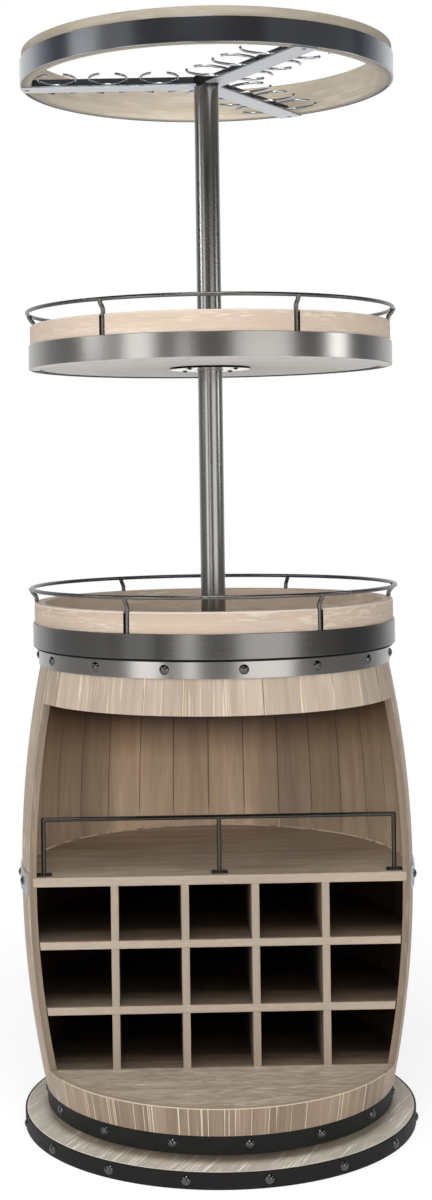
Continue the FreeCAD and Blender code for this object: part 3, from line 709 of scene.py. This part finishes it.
class CABINET_OT_screw_caps(bpy.types.Operator):
    """Press a black cap on each of the tray flanges' screws."""
    bl_idname = "cabinet.screw_caps"
    bl_label = "Screw caps"
    radius, height, circle, first_bearing = 3.6 * MM, 2.2 * MM, 61 * MM, -41

    def execute(self, context):
        bm = bmesh.new()
        low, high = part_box("tray_flanges")
        for i in range(4):
            a = math.radians(self.first_bearing + 90 * i)
            for z, up in ((low.z, -1), (high.z, 1)):
                middle = (self.circle * math.sin(a), -self.circle * math.cos(a), z + up * self.height / 2)
                made = bmesh.ops.create_cone(bm, cap_ends=True, segments=24, radius1=self.radius,
                                             radius2=self.radius, depth=self.height,
                                             matrix=Matrix.Translation(middle))
                crown = {v for v in made["verts"] if (v.co.z - z) * up > self.height / 2}
                edges = {e for v in crown for e in v.link_edges if crown.issuperset(e.verts)}
                bmesh.ops.bevel(bm, geom=list(edges), offset=0.6 * MM, segments=3, profile=0.5,
                                affect="EDGES", material=-1)
        finished("screw_caps", bm, "cabinet", "black_rubber")
        return {"FINISHED"}


class CABINET_OT_shelf_filler(bpy.types.Operator):
    """Run a pale bead of filler along the back of the main shelf."""
    bl_idname = "cabinet.shelf_filler"
    bl_label = "Shelf filler"

    def execute(self, context):
        bm = bmesh.new()
        z = top_of("main_shelf")
        radius = wall_r(z, STAVE_T)
        edge = math.degrees(math.acos(-OPENING_Y / radius)) + 1.0
        bead_ring(bm, radius - 0.6 * MM, z + 0.5 * MM, 2.8 * MM, 3.4 * MM, edge, 360 - 2 * edge, 120)
        finished("shelf_filler", bm, "cabinet", "pale_filler")
        return {"FINISHED"}


def pale_filler():
    """Wood filler rubbed smooth: chalky, slightly uneven."""
    material, tree, shader = new_material("pale_filler")
    place = add(tree, "TexCoord").outputs["Object"]
    crumb = add(tree, "TexNoise", {"Scale": 1 / (24 * MM), "Detail": 3.0}, {"Vector": place})
    shade = add(tree, "ValToRGB", {"stops": ((0.36, "#9C8A76"), (0.48, "#DCCDB7"))},
                {"Fac": crumb.outputs[0]})
    relief = add(tree, "Bump", {"Strength": 0.3, "Distance": 0.3 * MM}, {"Height": crumb.outputs[0]})
    shader.inputs["Roughness"].default_value = 0.8
    feed(tree, shader, Base_Color=shade, Normal=relief)


# --- Studio ---
# Soft boxes: name, bearing, distance, centre's height, width, height, share of the key, aim's
# height, and whether polished parts show it
LAMPS = (
    ("front_box", -6, 4.2, 1.3, 2.4, 0.7, 0.25, 0.9, False),
    ("left_front_box", -60, 3.8, 1.6, 1.2, 1.8, 0.32, 1.1, False),
    ("right_front_box", 60, 3.8, 1.6, 1.2, 1.8, 0.15, 1.1, False),
    ("top_box", 0, 1.6, 4.0, 1.4, 0.9, 0.24, 0.9, True),
    ("glint_box", -8, 2.6, 3.5, 1.3, 0.25, 0.22, 0.5, True),
    ("left_box", -44.5, 3.0, 1.15, 1.0, 1.9, 0.17, 1.0, True),
    ("left_front_strip", -17, 3.0, 0.95, 0.42, 1.35, 0.055, 0.9, True),
    ("left_low_panel", -88, 3.0, 1.1, 2.6, 1.5, 0.018, 1.1, True),
    ("left_side_strip", -71, 3.0, 1.64, 1.2, 0.35, 0.015, 1.4, True),
    ("left_pole_strip", -77, 3.0, 2.05, 0.5, 0.45, 0.075, 1.7, True),
    ("left_high_strip", -77, 3.0, 2.62, 1.2, 0.8, 0.0121, 1.9, True),
    ("left_high_panel", -65, 3.0, 2.62, 2.3, 0.8, 0.0135, 1.9, True),
    ("right_high_panel", 62, 3.0, 2.62, 3.6, 0.8, 0.0088, 1.9, True),
    ("right_box", 29, 3.0, 1.0, 1.9, 1.7, 0.225, 0.9, True),
    ("right_side_box", 78.5, 3.0, 1.6, 0.75, 0.7, 0.078, 1.4, True),
)
FRAME_SHIFT = (0.03856, -0.10248)


def lamp(key, name, bearing, distance, centre_z, width, height, share, aim_z, mirrored):
    """Soft box that faces the cabinet from a bearing, with a share of the key lamp's power."""
    data = bpy.data.lights.new(name, "AREA")
    data.shape, data.size, data.size_y, data.energy = "RECTANGLE", width, height, key * share
    light = bpy.data.objects.new(name, data)
    a = math.radians(bearing)
    spot = Vector((distance * math.sin(a), -distance * math.cos(a), centre_z))
    light.location = spot
    light.rotation_euler = (spot - Vector((0, 0, aim_z))).to_track_quat("Z", "Y").to_euler()
    light.visible_glossy = mirrored
    bpy.context.scene.collection.objects.link(light)


def studio_world(ambient):
    """White backdrop for the camera; polished parts see it behind and a dim room in front."""
    world = bpy.data.worlds.new("studio")
    bpy.context.scene.world = world
    world.use_nodes = True
    tree = world.node_tree
    tree.nodes.clear()
    path = add(tree, "LightPath")
    way = add(tree, "SeparateXYZ", links={0: add(tree, "TexCoord").outputs["Generated"]})
    ahead = add(tree, "MapRange", {"From Min": -1.0, "From Max": 1.0}, {"Value": way.outputs[1]})
    high = add(tree, "MapRange", {"From Min": -1.0, "From Max": 1.0}, {"Value": way.outputs[2]})
    front = add(tree, "ValToRGB", {"stops": ((0.46, "#86827D"), (0.53, "#86827D"), (0.58, "#363636"),
                                             (0.75, "#2C2C2C"))}, {"Fac": high})
    behind = add(tree, "ValToRGB", {"stops": ((0.42, "#000000"), (0.62, "#8C8C8C"), (0.86, "#FFFFFF"))},
                 {"Fac": ahead})
    side = add(tree, "ValToRGB", {"stops": ((0.62, "#8F9AA8"), (0.86, "#FFFFFF"))}, {"Fac": ahead})
    room = blended(tree, behind, front, side)
    soft = add(tree, "Background", {"Color": (1, 1, 1, 1), "Strength": ambient})
    mirror = add(tree, "Background", {"Strength": 1.0}, {"Color": room})
    white = add(tree, "Background", {"Color": (1, 1, 1, 1), "Strength": 1.0})
    lit = add(tree, "MixShader", links={0: path.outputs["Is Glossy Ray"], 1: soft, 2: mirror})
    seen = calc(tree, "MAXIMUM", path.outputs["Is Camera Ray"], path.outputs["Is Transmission Ray"])
    shown = add(tree, "MixShader", links={0: seen, 1: lit, 2: white})
    add(tree, "OutputWorld", links={"Surface": shown})


def floor_material():
    """Pale seamless paper that runs out to pure white, and keeps a light shadow."""
    material, tree, shader = new_material("white_paper_floor")
    shader.inputs["Roughness"].default_value = 0.8
    place = add(tree, "TexCoord").outputs["Object"]
    speck = add(tree, "TexNoise", {"Scale": 1 / (4 * MM), "Detail": 2.0}, {"Vector": place})
    shade = add(tree, "ValToRGB", {"stops": ((0.3, "#F1F1F1"), (0.7, "#F5F5F5"))},
                {"Fac": speck.outputs[0]})
    feed(tree, shader, Base_Color=shade)
    path = add(tree, "LightPath")
    # The camera sees a thin shadow near the base, and plain white further out.
    thin = add(tree, "BsdfDiffuse", {"Color": rgba("#A0A0A0")})
    near = add(tree, "AddShader", links={0: thin, 1: add(tree, "Emission", {"Strength": 0.78})})
    far = add(tree, "Emission", {"Strength": 1.0})
    reach = add(tree, "VectorMath", {"operation": "LENGTH"}, {0: place})
    fade = add(tree, "MapRange", {"From Min": 0.7, "From Max": 1.6}, {"Value": reach})
    shown = add(tree, "MixShader", links={0: fade, 1: near, 2: far})
    bounce = add(tree, "AddShader", links={0: shader, 1: add(tree, "Emission", {"Strength": 0.3})})
    plain = add(tree, "MixShader", links={0: path.outputs["Is Camera Ray"], 1: bounce, 2: shown})
    tree.links.new(plain.outputs[0], tree.nodes["Material Output"].inputs["Surface"])
    return material


def floor_disc():
    bm = bmesh.new()
    bmesh.ops.create_circle(bm, cap_ends=True, segments=96, radius=5.0)
    mesh = bpy.data.meshes.new("studio_floor")
    bm.to_mesh(mesh)
    bm.free()
    mesh.materials.append(floor_material())
    floor = bpy.data.objects.new("studio_floor", mesh)
    floor.location.z = -0.5 * MM
    bpy.context.scene.collection.objects.link(floor)


class CABINET_OT_studio(bpy.types.Operator):
    """Set the floor, the soft boxes, the backdrop and the camera."""
    bl_idname = "cabinet.studio"
    bl_label = "Studio"

    def execute(self, context):
        studio = context.scene.cabinet_studio
        floor_disc()
        studio_world(studio.ambient)
        for box in LAMPS:
            lamp(studio.key, *box)
        data = bpy.data.cameras.new("camera")
        data.lens, data.sensor_width = studio.lens, 36.0
        data.shift_x, data.shift_y = FRAME_SHIFT
        camera = bpy.data.objects.new("camera", data)
        camera.matrix_world = (Matrix.Translation(Vector(studio.place))
                               @ Matrix.Rotation(-studio.heading, 4, "Z")
                               @ Matrix.Rotation(math.pi / 2, 4, "X")
                               @ Matrix.Rotation(studio.roll, 4, "Z"))
        context.scene.collection.objects.link(camera)
        context.scene.camera = camera
        context.scene.view_settings.view_transform = "Standard"
        return {"FINISHED"}


OPERATORS = (CABINET_OT_wood, CABINET_OT_metal, CABINET_OT_pole_welds, CABINET_OT_rim_shadow_strip,
             CABINET_OT_screw_caps, CABINET_OT_shelf_filler, CABINET_OT_studio)


class CABINET_PT_panel(bpy.types.Panel):
    """Panel that lists the cabinet's settings and steps."""
    bl_idname = "CABINET_PT_panel"
    bl_label = "Bar Cabinet"
    bl_space_type = "VIEW_3D"
    bl_region_type = "UI"
    bl_category = "Bar Cabinet"

    def draw(self, context):
        for operator in OPERATORS:
            self.layout.operator(operator.bl_idname)
        for key, group in GROUPS.items():
            box = self.layout.box()
            for name in group.__annotations__:
                box.prop(getattr(context.scene, key), name)


def register():
    for key, group in GROUPS.items():
        bpy.utils.register_class(group)
        setattr(bpy.types.Scene, key, bpy.props.PointerProperty(type=group))
    for item in (*OPERATORS, CABINET_PT_panel):
        bpy.utils.register_class(item)


def unregister():
    for item in (CABINET_PT_panel, *OPERATORS[::-1]):
        bpy.utils.unregister_class(item)
    for key, group in GROUPS.items():
        delattr(bpy.types.Scene, key)
        bpy.utils.unregister_class(group)


def main():
    register()
    pale_filler()
    for operator in OPERATORS:
        group, name = operator.bl_idname.split(".")
        getattr(getattr(bpy.ops, group), name)()


if __name__ == "__main__":
    main()
